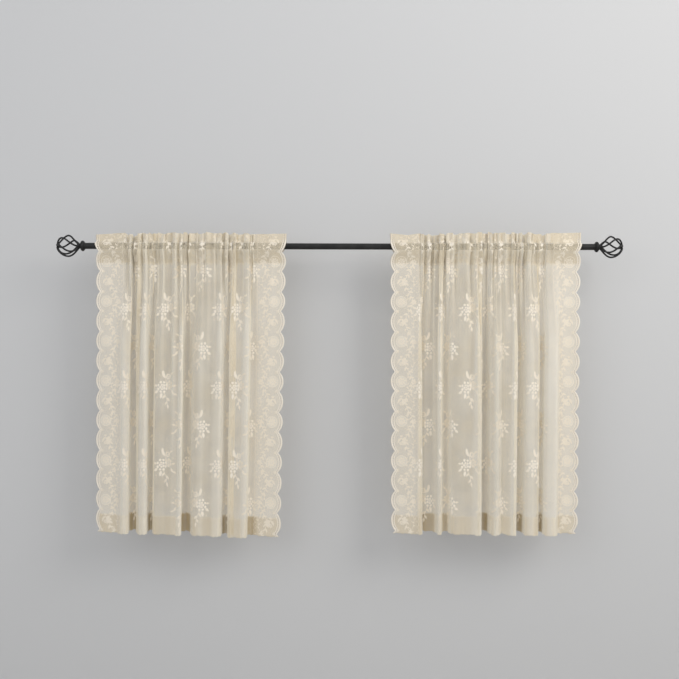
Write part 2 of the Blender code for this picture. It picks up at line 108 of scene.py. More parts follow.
def makeStage(s):
    scene = bpy.context.scene
    camera = bpy.data.cameras.new("camera")
    camera.lens = s["lens"]
    camera.sensor_width = 36
    eye = bpy.data.objects.new("camera", camera)
    eye.location = s["cameraPlace"]
    eye.rotation_euler = (math.pi / 2, s["cameraRoll"], 0)
    scene.collection.objects.link(eye)
    scene.camera = eye
    scene.view_settings.view_transform = "Standard"

    floorMaterial = newPaint("floorPaint", s["floorColour"], 0.8)[0]
    h, z = s["floorHalf"], s["floorZ"]
    corners = [(-h, -h, z), (h, -h, z), (h, h, z), (-h, h, z)]
    floor = newObject("floor", corners, [(0, 1, 2, 3)], floorMaterial)

    wallMaterial, shader = newPaint("wallPaint", s["wallColour"], 0.9)
    nodes, links = wallMaterial.node_tree.nodes, wallMaterial.node_tree.links
    # The wall shows only from the room, so the back of the curtains can be looked at.
    geometry = nodes.new("ShaderNodeNewGeometry")
    clear = nodes.new("ShaderNodeBsdfTransparent")
    mix = nodes.new("ShaderNodeMixShader")
    links.new(geometry.outputs["Backfacing"], mix.inputs[0])
    links.new(shader.outputs["BSDF"], mix.inputs[1])
    links.new(clear.outputs["BSDF"], mix.inputs[2])
    links.new(mix.outputs["Shader"], nodes["Material Output"].inputs["Surface"])
    w, y, top = s["wallHalf"], s["wallY"], s["wallTop"]
    corners = [(-w, y, z), (w, y, z), (w, y, top), (-w, y, top)]
    wall = newObject("wall", corners, [(0, 1, 2, 3)], wallMaterial)

    world = bpy.data.worlds.new("studio")
    world.use_nodes = True
    background = world.node_tree.nodes["Background"]
    background.inputs["Color"].default_value = s["worldColour"]
    background.inputs["Strength"].default_value = s["worldStrength"]
    scene.world = world
    for name, place, target, size, power, colour in s["lamps"]:
        lamp = bpy.data.lights.new(name, "AREA")
        lamp.size = size
        lamp.energy = power
        lamp.color = colour
        item = bpy.data.objects.new(name, lamp)
        item.location = place
        aim(item, target)
        scene.collection.objects.link(item)


makeStage(stage)
print("stage made")


# The hung cloth, in metres: the part's measures, a closer pocket, and the scene's own pleats,
# puckers and ripples. u runs across the flat cloth from its left edge, and drop down from its top.

hang = {
    "topZ": 0.038, "length": 0.914, "hungWidth": 0.582, "flatStrip": 0.085,
    "upperSeam": 0.0235, "lowerSeam": 0.09, "hemDrop": 0.859,
    "pocketHigh": 0.0315, "pocketLow": 0.049, "pocketEnd": 0.059,
    "pocketHalf": 0.017, "pocketShare": 0.38, "pocketRound": 0.35, "pocketFade": 0.012,
    "gatherStep": 0.005, "gatherReach": 5, "leastGather": 0.28,
    "edgeFull": 0.12, "edgeShare": 0.05, "leastFull": 0.08, "foldShare": 0.3,
    "ruffleDepth": 0.0045, "ruffleColumns": 4, "ruffleVary": 0.2, "varyTurns": 3.1,
    "scallopDepth": 0.0125, "firstNotch": 0.056, "scallopPitches": (0.0585, 0.063),
    "settleDrop": 0.28, "recessLift": 0.15, "crestDepth": -0.024,
    "borderColumn": 0.026, "longestSpan": 0.02, "splineSteps": 20,
    "layerGap": 0.0008, "faceReach": 0.003, "rodCrease": 0.5,
    # Soft pleats that start at the rod: length, size low down, more size at the rod, how far
    # down that fades, and drift. How flat their sides are comes last.
    "pleats": (
        (0.043, 0.0009, 0.0068, 0.26, 0.2),
        (0.0235, 0.0003, 0.004, 0.16, -0.3),
        (0.0148, 0.00015, 0.0011, 0.06, 0.5),
        (0.071, 0.0006, 0.0014, 0.35, -0.25),
    ),
    "pleatFlat": 0.8, "pleatWander": 0.35, "wanderPitch": 0.23,
    # Puckers along the seams: height, reach, pitch, and how much and how fast the pitch drifts.
    "pucker": (0.0003, 0.006, 0.0068, 0.3, 90),
    "topRise": 0.0015, "topPitches": (0.061, 0.0375), "topShift": -0.3,
    "topFlare": 0.005, "flarePitch": 0.083,
    "hemRipple": 0.0009, "ripplePitches": (0.0135, 0.031),
}

# Each panel's own line of folds, seen from above, and its top line are in millimetres.
panels = {
    "left": {
        "node": "panel_left",
        "leftX": -0.744, "phase": 0.15, "seed": 3,
        "leftIn": 0.001, "rightIn": -0.016,
        "folds": (
            (0, 4), (34, -6), (64, -8), (77, -15), (90, -23), (103, -15), (103, 3), (107, 16),
            (118, 21), (128, 12), (129, -6), (138, -19), (153, -25), (164, -15), (160, 3),
            (164, 17), (173, 20), (180, 9), (181, -8), (193, -15), (224, -14), (250, -20),
            (264, -26), (272, -16), (264, 1), (267, 16), (282, 23), (297, 12), (300, -7),
            (314, -17), (350, -16), (384, -21), (396, -12), (395, 5), (402, 15), (420, 16),
            (432, 10), (426, 1), (418, -8), (424, -18), (448, -17), (468, -20), (477, -10),
            (476, 6), (486, 14), (510, 6), (545, 1), (582, -4),
        ),
        "topLine": (
            (0, -4), (90, 1), (100, -6), (122, -6), (146, 0), (400, 1), (450, -2), (582, 0),
        ),
        "hemLine": ((0.0, -0.002), (0.3, 0.0), (0.6, 0.005), (0.8, 0.01), (1.0, 0.014)),
    },
    "right": {
        "node": "panel_right",
        "leftX": 0.154, "phase": 0.6, "seed": 8,
        "leftIn": 0.004, "rightIn": -0.009,
        "folds": (
            (0, 2), (40, -5), (74, -11), (87, -17), (97, -9), (89, 1), (83, 11), (92, 19),
            (114, 14), (134, 10), (141, -4), (146, -19), (157, -14), (157, 3), (164, 13),
            (177, 9), (183, -7), (196, -16), (230, -16), (260, -21), (273, -26), (280, -15),
            (272, 1), (275, 16), (290, 22), (304, 12), (307, -6), (315, -19), (325, -25),
            (334, -14), (342, -4), (358, -12), (377, -24), (388, -14), (383, 2), (386, 16),
            (399, 22), (411, 12), (413, -6), (423, -18), (441, -22), (456, -13), (455, 4),
            (463, 18), (473, 10), (474, -7), (485, -20), (501, -24), (516, -13), (519, 0),
            (550, 3), (582, -6),
        ),
        "topLine": (
            (0, 2), (55, -4), (85, 1), (120, -3), (180, 0), (270, 3), (430, 2), (462, -3),
            (490, 3), (582, 5),
        ),
        "hemLine": ((0.0, 0.001), (0.3, -0.001), (0.6, 0.001), (1.0, 0.002)),
    },
}


def ease(share):
    share = np.clip(share, 0.0, 1.0)
    return share * share * (3 - 2 * share)


def lengthMarks(points):
    lengths = np.linalg.norm(np.diff(points, axis=0), axis=1)
    return np.concatenate([[0.0], np.cumsum(lengths)])


def splineSpan(before, start, end, after, steps):
    # One centripetal Catmull-Rom span.
    first = math.sqrt(np.linalg.norm(start - before))
    second = first + math.sqrt(np.linalg.norm(end - start))
    third = second + math.sqrt(np.linalg.norm(after - end))
    points = []
    for t in np.linspace(first, second, steps, endpoint=False):
        a = before + (start - before) * (t / first)
        b = start + (end - start) * ((t - first) / (second - first))
        c = end + (after - end) * ((t - second) / (third - second))
        d = a + (b - a) * (t / second)
        e = b + (c - b) * ((t - first) / (third - first))
        points.append(d + (e - d) * ((t - first) / (second - first)))
    return points


def splineThrough(points, steps):
    ends = [np.asarray(point, float) for point in points]
    ends = [2 * ends[0] - ends[1]] + ends + [2 * ends[-1] - ends[-2]]
    dense = []
    for i in range(1, len(ends) - 2):
        dense += splineSpan(*ends[i - 1 : i + 3], steps)
    return np.array(dense + [ends[-2]])


def scallopNotches():
    short, long = hang["scallopPitches"]
    notches = [hang["firstNotch"] - long]
    while notches[-1] < hang["length"]:
        notches.append(notches[-1] + (long if len(notches) % 2 else short))
    return np.array(notches)


notches = scallopNotches()


def scallop(drop):
    # How far the scalloped edge lies in from the cloth's widest line. The turned-over heading
    # hides the scallops above the rod, so the edge is straight there.
    i = np.clip(np.searchsorted(notches, drop, side="right") - 1, 0, len(notches) - 2)
    half = (notches[i + 1] - notches[i]) / 2
    off = np.minimum(np.abs(drop - notches[i] - half), half)
    depth = hang["scallopDepth"]
    radius = (half * half + depth * depth) / (2 * depth)
    straight = drop < (notches[0] + notches[1]) / 2
    return np.where(straight, 0.0, radius - np.sqrt(radius * radius - off * off))


class Cloth:
    # One hung panel: where each point of the flat cloth lies.

    def __init__(self, panel):
        self.panel = panel
        self.topLine = np.array(panel["topLine"]).T / 1000
        self.hemLine = np.array(panel["hemLine"]).T
        steps = hang["splineSteps"]
        self.points = splineThrough(np.array(panel["folds"]) / 1000, steps)
        self.marks = lengthMarks(self.points)
        self.width = self.marks[-1]
        self.columns = self.ruffleColumns(self.marks[::steps])
        self.gatherAt, self.gatherTo = self.spreadGathers()
        random.seed(panel["seed"])
        self.waves = [(*row, random.random()) for row in hang["pleats"]]

    def ruffleColumns(self, foldMarks):
        # The part's own columns, whose spacing sets the wide ruffles.
        edge = hang["borderColumn"]
        columns = [0.0, edge]
        marks = [m for m in foldMarks if 1.5 * edge < m < self.width - 1.5 * edge]
        for mark in marks + [self.width - edge]:
            start = columns[-1]
            parts = math.ceil((mark - start) / hang["longestSpan"])
            columns += [start + (mark - start) * (i + 1) / parts for i in range(parts)]
        return np.array(columns + [self.width])

    def spreadGathers(self):
        # Where each 5 mm of the flat cloth lies in the heading, above its own fold.
        steps = round(self.width / hang["gatherStep"])
        step = self.width / steps
        at = np.arange(steps + 1) * step
        places = np.interp(at, self.marks, self.points[:, 0])
        flat = math.ceil(hang["flatStrip"] / step)
        reach = hang["gatherReach"]
        middle = np.arange(flat, steps - flat)
        slopes = (places[middle + 1 + reach] - places[middle - reach]) / (2 * reach + 1) / step
        slopes = np.maximum(slopes, hang["leastGather"])
        slopes *= (hang["hungWidth"] - 2 * flat * step) / (slopes.sum() * step)
        slopes = np.concatenate([np.ones(flat), slopes, np.ones(flat)])
        return at, np.concatenate([[0.0], np.cumsum(slopes * step)])

    def gathered(self, u):
        share = (u - hang["flatStrip"]) / (self.width - 2 * hang["flatStrip"])
        across = np.interp(u, self.gatherAt, self.gatherTo)
        inside = np.clip(share, 0, 1)
        edge = hang["edgeShare"]
        full = ease(inside / edge) * ease((1 - inside) / edge)
        full = hang["edgeFull"] + (1 - hang["edgeFull"]) * full
        turns = np.interp(u, self.columns, np.arange(len(self.columns))) / hang["ruffleColumns"]
        vary = hang["ruffleVary"]
        size = 1 - vary + vary * np.sin(tau * (hang["varyTurns"] * share + self.panel["phase"]))
        ruffle = hang["ruffleDepth"] * full * size * np.sin(tau * turns)
        fold = hang["foldShare"] * np.interp(u, self.marks, self.points[:, 1])
        return across, fold + ruffle, full

    def plan(self, u, drop):
        settled = ease((drop - hang["lowerSeam"]) / hang["settleDrop"])
        acrossTop, deepTop, full = self.gathered(u)
        lineX = np.interp(u, self.marks, self.points[:, 0])
        lineY = np.interp(u, self.marks, self.points[:, 1])
        x = acrossTop + (lineX - acrossTop) * settled
        y = deepTop * (1 - settled) ** 2 + lineY * settled
        share = u / self.width
        pull = self.panel["leftIn"] * (1 - share) + self.panel["rightIn"] * share
        return x + self.panel["leftX"] + pull * drop / hang["length"], y

    def crease(self, u, drop, full):
        # Pleats and fine creases that fan out of the gathers and soften on the way down.
        below = np.maximum(drop - hang["lowerSeam"], 0)
        flat = hang["pleatFlat"]
        total = 0.0
        for length, low, more, fade, drift, phase in self.waves:
            high = np.exp(-below / fade)
            sway = np.sin(tau * (u / hang["wanderPitch"] + phase))
            wander = phase + drift * drop + hang["pleatWander"] * sway
            wave = np.arcsin(flat * np.sin(tau * (u / length + wander))) / math.asin(flat)
            total = total + (low + more * high) * wave
        height, reach, pitch, much, fast = hang["pucker"]
        seams = (hang["upperSeam"], hang["lowerSeam"], hang["hemDrop"])
        pucker = sum(np.exp(-np.abs(drop - seam) / reach) for seam in seams)
        return total * full + height * pucker * np.sin(tau * (u / pitch + much * np.sin(u * fast)))

    def place(self, u, drop, side, lift=0.0, up=0.0):
        # side is -1 on the room side and 1 on the back, and lift is outward from either.
        u, drop, side = np.broadcast_arrays(*map(np.asarray, (u, drop, side)))
        phase = self.panel["phase"]
        x, y = self.plan(u, drop)
        reach = hang["faceReach"]
        xa, ya = self.plan(u - reach, drop)
        xb, yb = self.plan(u + reach, drop)
        faceX, faceY = -(yb - ya), xb - xa
        size = np.hypot(faceX, faceY)
        faceX, faceY = faceX / size, faceY / size
        acrossTop, deepTop, full = self.gathered(u)
        full = (full - hang["edgeFull"]) / (1 - hang["edgeFull"])
        full = np.clip(full, hang["leastFull"], 1)
        into = ease((drop - hang["upperSeam"]) / (hang["pocketHigh"] - hang["upperSeam"]))
        out = np.clip((hang["lowerSeam"] - drop) / (hang["lowerSeam"] - hang["pocketLow"]), 0, 1)
        out = hang["pocketRound"] * ease(out) + (1 - hang["pocketRound"]) * out
        bulge = into * out
        y = y + bulge * (side * hang["pocketHalf"] - deepTop * (1 - hang["pocketShare"]))
        rise = np.interp(acrossTop, *self.topLine)
        free = np.maximum(0, 1 - drop / hang["upperSeam"])
        long, short = hang["topPitches"]
        wander = np.sin(tau * (u / long + phase)) + np.sin(tau * (u / short + hang["topShift"]))
        rise = (rise + hang["topRise"] * full * wander) * free
        flare = np.sin(tau * (u / hang["flarePitch"] + 2 * phase))
        y = y + hang["topFlare"] * full * free * flare
        low = np.maximum(0, (drop - hang["lowerSeam"]) / (hang["length"] - hang["lowerSeam"]))
        fall = np.interp(u / self.width, *self.hemLine)
        recess = hang["recessLift"] * (y - hang["crestDepth"])
        short, long = hang["ripplePitches"]
        ripple = np.sin(tau * u / short) + np.sin(tau * (u / long + phase))
        z = hang["topZ"] - drop + rise + (recess - fall) * low * low + up
        z = z + hang["hemRipple"] * ripple * low**8
        onRod = bulge * ease((hang["pocketEnd"] - drop) / hang["pocketFade"])
        crease = self.crease(u, drop, full) * (1 - hang["rodCrease"] * onRod)
        off = crease + side * (hang["layerGap"] + lift)
        return np.stack([x + faceX * off, y + faceY * off, z], axis=-1)


# The net: one strip a panel. It runs up the back of the pocket, over the top edge, down the
# room side, round the bottom edge and up the back of the hem.

net = {
    "columnStep": 0.0025, "rowStep": 0.0066,
    "headingStep": 0.0034, "headingRows": 0.12, "leastRow": 0.002,
    "foldedUnder": 0.095, "turnSteps": 4, "hemLap": 0.001,
    "borderWidth": 0.092, "flatScale": 1.1, "flatEdge": 0.012,
    "deepStart": 0.004, "deepSpan": 0.01,
    "frontStart": -0.0165, "frontSpan": 0.0065,
}

# What the net's material reads from its mesh.
netReads = ("edgeIn", "rim", "drop", "turned", "deep", "front")


def rowDrops(start, end):
    # Drops from start to end, with one at each scallop's notch.
    least = net["leastRow"]
    marks = [start] + [n for n in notches if start + least < n < end - least] + [end]
    drops = []
    for low, high in zip(marks, marks[1:]):
        step = net["headingStep"] if low < net["headingRows"] else net["rowStep"]
        parts = max(1, math.ceil((high - low) / step))
        drops += list(np.linspace(low, high, parts, endpoint=False))
    return drops + [end]


def stripRows():
    # Each row's drop, side, rise past the edge, and distance along the flat cloth.
    gap = hang["layerGap"]
    turn = np.linspace(0, math.pi, net["turnSteps"] + 1)[1:-1]
    length = hang["length"]
    rows = [(drop, 1.0, 0.0) for drop in rowDrops(0.0, net["foldedUnder"])[::-1]]
    rows += [(0.0, math.cos(a), gap * math.sin(a)) for a in turn]
    rows += [(drop, -1.0, 0.0) for drop in rowDrops(0.0, length)]
    rows += [(length, -math.cos(a), -gap * math.sin(a)) for a in turn]
    hemTop = hang["hemDrop"] - net["hemLap"]
    rows += [(drop, 1.0, 0.0) for drop in rowDrops(hemTop, length)[::-1]]
    rows = np.array(rows)
    steps = np.abs(np.diff(rows[:, 0])) + gap * np.abs(np.diff(rows[:, 1]))
    return rows, np.concatenate([[0.0], np.cumsum(steps)])


def makeNet(word, cloth, material):
    rows, along = stripRows()
    count = round(cloth.width / net["columnStep"])
    across = np.linspace(0, cloth.width, count + 1)
    u, drop = np.meshgrid(across, rows[:, 0])
    # The outer columns move in, so that the sides follow the scallops.
    edge, inset = hang["borderColumn"], scallop(drop)
    fromRight = cloth.width - u
    u = u + inset * np.clip(1 - u / edge, 0, 1)
    u = u - inset * np.clip(1 - fromRight / edge, 0, 1)
    grid = cloth.place(u, drop, rows[:, 1:2], up=rows[:, 2:3])
    # How far the cloth is turned: 0 where it faces the room squarely, and 1 where it is edge on. The
    # material paints a highlight and a denser net by it.
    way = np.gradient(grid, axis=1)
    turned = 1 - np.abs(way[..., 0]) / np.maximum(np.hypot(way[..., 0], way[..., 1]), 1e-9)
    # How far back the cloth lies: 1 in the deepest recesses, where the material paints shade into the
    # hem.
    deep = ease((grid[..., 1] - net["deepStart"]) / net["deepSpan"])
    # How far forward the cloth lies: 1 at the frontmost crests, where the material paints a highlight
    # and makes the net denser.
    front = ease((net["frontStart"] - grid[..., 1]) / net["frontSpan"])
    wide = count + 1
    start = (np.arange(len(rows) - 1)[:, None] * wide + np.arange(count)).ravel()
    faces = np.stack([start, start + wide, start + wide + 1, start + 1], axis=-1).tolist()
    item = newObject("lace" + word, grid.reshape(-1, 3), faces, material)
    flat = np.stack([u, np.broadcast_to(along[:, None], u.shape)], axis=-1)
    flat = (flat + net["flatEdge"]) / net["flatScale"]
    writeUv(item.data, "OFBake", flat.reshape(-1, 2))
    edgeIn = np.minimum(u, cloth.width - u)
    rim = edgeIn - inset
    for key, values in zip(netReads, (edgeIn, rim, drop, turned, deep, front)):
        writeValues(item.data, key, values.ravel())
    print(item.name, "triangles", 2 * len(faces), "flat length", round(float(along[-1]), 4))
    return item


# Raised lace figures. Each one is drawn on the flat cloth and then laid on the hung one.

def onRing(centre, radius, angle):
    return centre[0] + radius * math.cos(angle), centre[1] + radius * math.sin(angle)


class Relief:
    # Domed bars and leaves, with points at the left, the crest and the right of each station.
    # A closed bar has one more, on its back.

    def __init__(self):
        self.points, self.faces, self.grain, self.tones = [], [], [], []
        self.tone = 1.0  # 1 is the palest thread, 0 the darkest

    def bar(self, spine, halves, rises, edge=0.00012, closed=False):
        # spine is a list of (u, drop), with a half width and a rise at each.
        spine = np.asarray(spine, float)
        way = np.gradient(spine, axis=0)
        way /= np.maximum(np.linalg.norm(way, axis=1), 1e-9)[:, None]
        aside = np.stack([-way[:, 1], way[:, 0]], axis=-1)
        halves = np.broadcast_to(halves, len(spine))
        rises = np.broadcast_to(rises, len(spine))
        start, wide = len(self.points), 4 if closed else 3
        for point, side, half, rise, far in zip(spine, aside, halves, rises, lengthMarks(spine)):
            left, right = point - side * half, point + side * half
            section = [(*left, edge), (*point, rise), (*right, edge), (*point, -rise)]
            self.points += section[:wide]
            self.tones += [self.tone] * wide
            self.grain += [(far, 0.0), (far, half), (far, 2 * half), (far, half)][:wide]
        for i in range(len(spine) - 1):
            a = start + wide * i
            for k in range(wide if closed else wide - 1):
                n = (k + 1) % wide
                self.faces.append((a + k, a + n, a + wide + n, a + wide + k))

    def leaf(self, base, angle, length, width, rise=0.0007, bend=0.0, full=0.42, steps=5, blunt=1.0):
        # A leaf or petal whose widest place is at the share called full. Below 1, blunt rounds it.
        t = np.linspace(0, 1, steps + 1)
        turn = angle + bend * (t - 0.5)
        step = length / steps
        spine = np.array(base) + np.concatenate(
            [[(0, 0)], np.cumsum(np.stack([np.cos(turn[1:]), np.sin(turn[1:])], -1) * step, axis=0)]
        )
        power = math.log(0.5) / math.log(full)
        shape = np.sin(math.pi * np.clip(t, 0.02, 0.98) ** power) ** blunt
        self.bar(spine, width / 2 * (0.1 + 0.9 * shape), rise * (0.35 + 0.65 * shape))

    def dot(self, centre, radius, rise=0.0009):
        cx, cy = centre
        offs = np.array([-1.0, -0.6, 0.0, 0.6, 1.0])
        spine = [(cx + radius * off, cy) for off in offs]
        halves = radius * np.sqrt(np.maximum(0.03, 1 - offs**2))
        self.bar(spine, halves, rise * np.sqrt(np.maximum(0.05, 1 - offs**2)))

    def flower(self, centre, radius, petals, turn=0.0, wide=0.9, rise=0.0007, heart=0.26):
        inner = radius * heart
        length = radius - inner
        width = tau * (inner + 0.62 * length) / petals * wide
        for k in range(petals):
            a = turn + tau * k / petals
            base = onRing(centre, inner, a)
            self.leaf(base, a, length, width, rise, full=0.62, steps=6, blunt=0.6)
        self.dot(centre, inner * 0.8, rise * 1.3)

    def rose(self, centre, radius, turn=0.0):
        # Two rings of small round petals about a knot. Shares of the radius: where a petal
        # starts and ends, and its width. Its rise and the ring's turn come last.
        rings = ((8, 0.6, 1.0, 0.46, 0.0006, 0.0), (5, 0.19, 0.56, 0.41, 0.001, 0.3))
        for petals, inner, outer, width, rise, more in rings:
            for k in range(petals):
                a = turn + more + tau * k / petals
                base = onRing(centre, inner * radius, a)
                length = (outer - inner - 0.07 * (k % 2)) * radius
                self.leaf(base, a, length, width * radius, rise, full=0.55, steps=6, blunt=0.5)
        self.dot(centre, 0.13 * radius, 0.0013)

    def ring(self, centre, radius, half, rise=0.0007, sides=18):
        spine = [onRing(centre, radius, a) for a in np.linspace(0, tau, sides + 1)]
        self.bar(spine, half, rise)


mm = 0.001


def smoothPath(points, step):
    # A smooth curve through points, read at about equal steps.
    dense = splineThrough(points, 12)
    marks = lengthMarks(dense)
    places = np.linspace(0, marks[-1], max(2, round(marks[-1] / step)) + 1)
    return np.stack([np.interp(places, marks, dense[:, k]) for k in range(dense.shape[1])], -1)


def stamp(target, figure, centre, mirror=1, scale=(mm, mm)):
    # Copies a figure drawn in millimetres about its own middle, x right and y up.
    start = len(target.points)
    for x, y, rise in figure.points:
        target.points.append((centre[0] + x * mirror * scale[0], centre[1] - y * scale[1], rise))
    target.faces += [tuple(start + i for i in face) for face in figure.faces]
    target.grain += [(far * scale[1], near * scale[0]) for far, near in figure.grain]
    target.tones += figure.tones


# The field's large spray: a full rose, a fainter open flower, a round bud and loose leaves. All
# in millimetres, but for the rises, which are metres everywhere. A tone comes last in each row.
spray = {
    "stems": (
        ((-4, -14), (3, -26), (8, -38), (9, -50)), ((4, 12), (3, 22), (-3, 34)),
        ((18, -6), (27, -13), (33, -22)), ((6, 14), (12, 24), (20, 32)),
    ),
    "stemHalf": 0.9, "stemTone": 0.45,
    "rose": (-7, -1, 17.5, 1.0),
    "flower": (15, 5, 12.5, 6, 0.5, 0.4),
    "bud": (12, 27, 6.0, 0.55),
    # Base, heading in degrees, length, width, bend and tone.
    "leaves": (
        (2, 23, 118, 22, 8.5, -0.5, 0.8), (4, 22, 72, 14, 6, 0.4, 0.55),
        (-3, 33, 100, 12, 5.5, 0.3, 0.6), (20, 32, 35, 12, 5.5, -0.4, 0.5),
        (-23, 2, 172, 10, 6.5, 0.4, 0.65), (-21, -11, 214, 13, 7.5, -0.4, 0.75),
        (-9, -18, 255, 15, 8.5, 0.4, 0.9), (2, -24, 222, 13, 6.5, 0.5, 0.6),
        (6, -31, -38, 14, 7, -0.5, 0.65), (8, -40, 236, 12, 6, 0.4, 0.55),
        (9, -48, -78, 13, 6.5, -0.3, 0.65), (24, -9, -62, 13, 6.5, 0.4, 0.6),
        (31, -19, -20, 11, 5.5, -0.4, 0.5), (27, 2, 8, 11, 6, 0.3, 0.45),
    ),
    "dots": ((-31, 17, 0.5), (31, 17, 0.4), (-17, 32, 0.4), (-24, -30, 0.5), (24, -38, 0.4)),
}

sprig = {
    "stem": ((-4, -17), (-1, -6), (0, 4)),
    "flower": (0, 8, 9.5, 5, 0.31),
    "leaves": (
        (-3, -10, 205, 12, 5.5, 0.5, 0.8), (-2, -8, -20, 12, 5.5, -0.5, 0.8),
        (-1, -3, 150, 11, 5.0, 0.4, 0.8), (0, -1, 25, 11, 5.0, -0.4, 0.8),
    ),
}


def drawLeaves(figure, leaves):
    for x, y, degrees, length, width, bend, tone in leaves:
        figure.tone = tone
        figure.leaf((x, y), math.radians(degrees), length, width, bend=bend)


def drawSpray(s):
    figure = Relief()
    figure.tone = s["stemTone"]
    for path in s["stems"]:
        figure.bar(smoothPath(path, 4), s["stemHalf"], 0.0005)
    drawLeaves(figure, s["leaves"])
    x, y, radius, petals, turn, figure.tone = s["flower"]
    figure.flower((x, y), radius, petals, turn, rise=0.0005)
    x, y, radius, figure.tone = s["bud"]
    figure.ring((x, y), radius, 1.5)
    figure.dot((x, y), 1.7)
    x, y, radius, figure.tone = s["rose"]
    figure.rose((x, y), radius, 0.4)
    for x, y, figure.tone in s["dots"]:
        figure.dot((x, y), 1.6)
    return figure


def drawSprig(s):
    figure = Relief()
    figure.bar(smoothPath(s["stem"], 4), 0.9, 0.0005)
    x, y, radius, petals, turn = s["flower"]
    figure.flower((x, y), radius, petals, turn)
    drawLeaves(figure, s["leaves"])
    return figure


# The border down each side, in millimetres: x runs in from the cloth's widest line and y up.
border = {
    "cordIn": 3.0, "cordHalf": 2.9, "cordStep": 4.2, "cordTone": 1.0,
    "innerIn": 10.6, "innerHalf": 1.3, "innerShare": 0.88,
    "rungStep": 5.2,
    "round": (34.0, 16.5), "arch": (33.0, 9.0),
    # How far in, radius, petals and turn.
    "notchFlower": (22.0, 4.6, 5, 0.5),
    "garlandFlower": (3.5, 8.6, 6, 0.25),
    "figureTone": 0.5,
    "garlandIn": 57.0, "garlandSwing": 11.5, "leafStep": 13.5,
    # Further down, turn, length, width and bend.
    "garlandLeaves": ((0, 0.85, 13.5, 6.2, -0.6), (4, -1.0, 9.5, 4.4, 0.5)),
    "counterLeaf": (1.1, 8.0, 3.8, 0.5),
    "counterDot": (7.5, 5, 1.2),
    "lineIn": 88.0, "lineSwing": 3.2, "linePitch": 17.0, "lineStep": 3.4,
    "lineDot": (4.2, 1.5),
}


def drawBorder(s, length):
    figure = Relief()
    figure.tone = s["cordTone"]
    cord = np.arange(0, length + 4, s["cordStep"])
    inset = scallop(cord * mm) / mm
    figure.bar(np.stack([inset + s["cordIn"], -cord], -1), s["cordHalf"], 0.001, closed=True)
    inner = inset * s["innerShare"] + s["innerIn"]
    figure.bar(np.stack([inner, -cord], -1), s["innerHalf"], 0.0007, closed=True)
    figure.tone = s["figureTone"]
    for y in np.arange(2, length, s["rungStep"]):
        deep = scallop(y * mm) / mm
        start, end = deep + s["cordIn"] + 0.8, deep * s["innerShare"] + s["innerIn"] - 0.3
        figure.bar([(start, -y), ((start + end) / 2, -y - 1.2), (end, -y)], (0.5, 1.0, 0.5), 0.0005)

    middles = (notches[1:] + notches[:-1]) / 2 / mm
    for count, middle in enumerate(middles):
        if count % 2:
            x, radius = s["round"]
            figure.ring((x, -middle), radius, 0.8, 0.0004)
            figure.flower((x, -middle), radius - 4.5, 8, 0.2, wide=0.8, rise=0.0004)
            continue
        x, size = s["arch"]
        for degrees, bend in ((-128, 0.7), (-52, -0.7)):
            figure.leaf((x, size - middle), math.radians(degrees), 2.2 * size, 0.75 * size, bend=bend)
        figure.flower((x, -middle - 0.8 * size), 0.7 * size, 6, 0.3)
        for degrees in (60, 90, 120):
            a = math.radians(degrees)
            figure.leaf((x, size * 1.2 - middle), a, 0.9 * size, 0.4 * size)
    x, *flower = s["notchFlower"]
    for notch in notches / mm:
        figure.flower((x, -notch), *flower)

    period = sum(hang["scallopPitches"]) / mm
    first = notches[1] / mm

    def garland(y):
        return s["garlandIn"] + s["garlandSwing"] * np.sin(tau * (y - first) / period)

    figure.bar(np.stack([garland(cord), -cord], -1), 0.75, 0.0006)
    for count, y in enumerate(np.arange(first - 55, length, s["leafStep"])):
        slope = (garland(y + 1) - garland(y - 1)) / 2
        along = math.atan2(-1, slope)
        side = 1 if count % 2 else -1
        for below, turn, far, wide, bend in s["garlandLeaves"]:
            base = (garland(y), -y - below)
            figure.leaf(base, along + side * turn, far, wide, bend=side * bend)
    off, *flower = s["garlandFlower"]
    for y in np.arange(first - 0.75 * period, length + 20, period / 2):
        out = 1 if garland(y) > s["garlandIn"] else -1
        figure.flower((garland(y) + off * out, -y), *flower)

    def counter(y):
        return 2 * s["garlandIn"] + 4 - garland(y)

    figure.bar(np.stack([counter(cord), -cord], -1), 0.5, 0.0005)
    turn, far, wide, bend = s["counterLeaf"]
    off, below, radius = s["counterDot"]
    for count, y in enumerate(np.arange(first - 50, length, s["leafStep"] * 0.8)):
        side = 1 if count % 2 else -1
        figure.leaf((counter(y), -y), math.pi / 2 + side * turn, far, wide, bend=side * bend)
        figure.dot((counter(y) + side * off, -y - below), radius)

    line = np.arange(0, length + 3, s["lineStep"])
    wave = s["lineIn"] - s["lineSwing"] * np.abs(np.sin(math.pi * line / s["linePitch"]))
    figure.bar(np.stack([wave, -line], -1), 0.6, 0.0005)
    off, radius = s["lineDot"]
    for y in np.arange(s["linePitch"] / 2, length, s["linePitch"]):
        figure.dot((s["lineIn"] - s["lineSwing"] - off, -y), radius)
    return figure


# Where the sprays lie on the field: columns of them, every second one half a row lower.
field = {
    "rowPitch": 0.236, "rows": 5, "firstSpray": -0.006, "sprigDrop": 0.036,
    "columnPitch": 0.0615, "sideGap": 0.01,
    "wide": 0.00096, "tall": 0.00112,
}


def layField(relief, cloth, s):
    large, small = drawSpray(spray), drawSprig(sprig)
    low, high = net["borderWidth"], cloth.width - net["borderWidth"]
    columns = math.floor((high - low) / s["columnPitch"])
    scale = (s["wide"], s["tall"])
    for i in range(columns + 1):
        u = low + s["sideGap"] + s["columnPitch"] * i
        if u > high - s["sideGap"]:
            continue
        odd = i % 2
        for k in range(s["rows"]):
            drop = s["firstSpray"] + (k + 0.5 * odd) * s["rowPitch"]
            if drop < hang["length"]:
                stamp(relief, large, (u, drop), -1 if odd else 1, scale)
        if odd:
            stamp(relief, small, (u, s["sprigDrop"]), 1, scale)


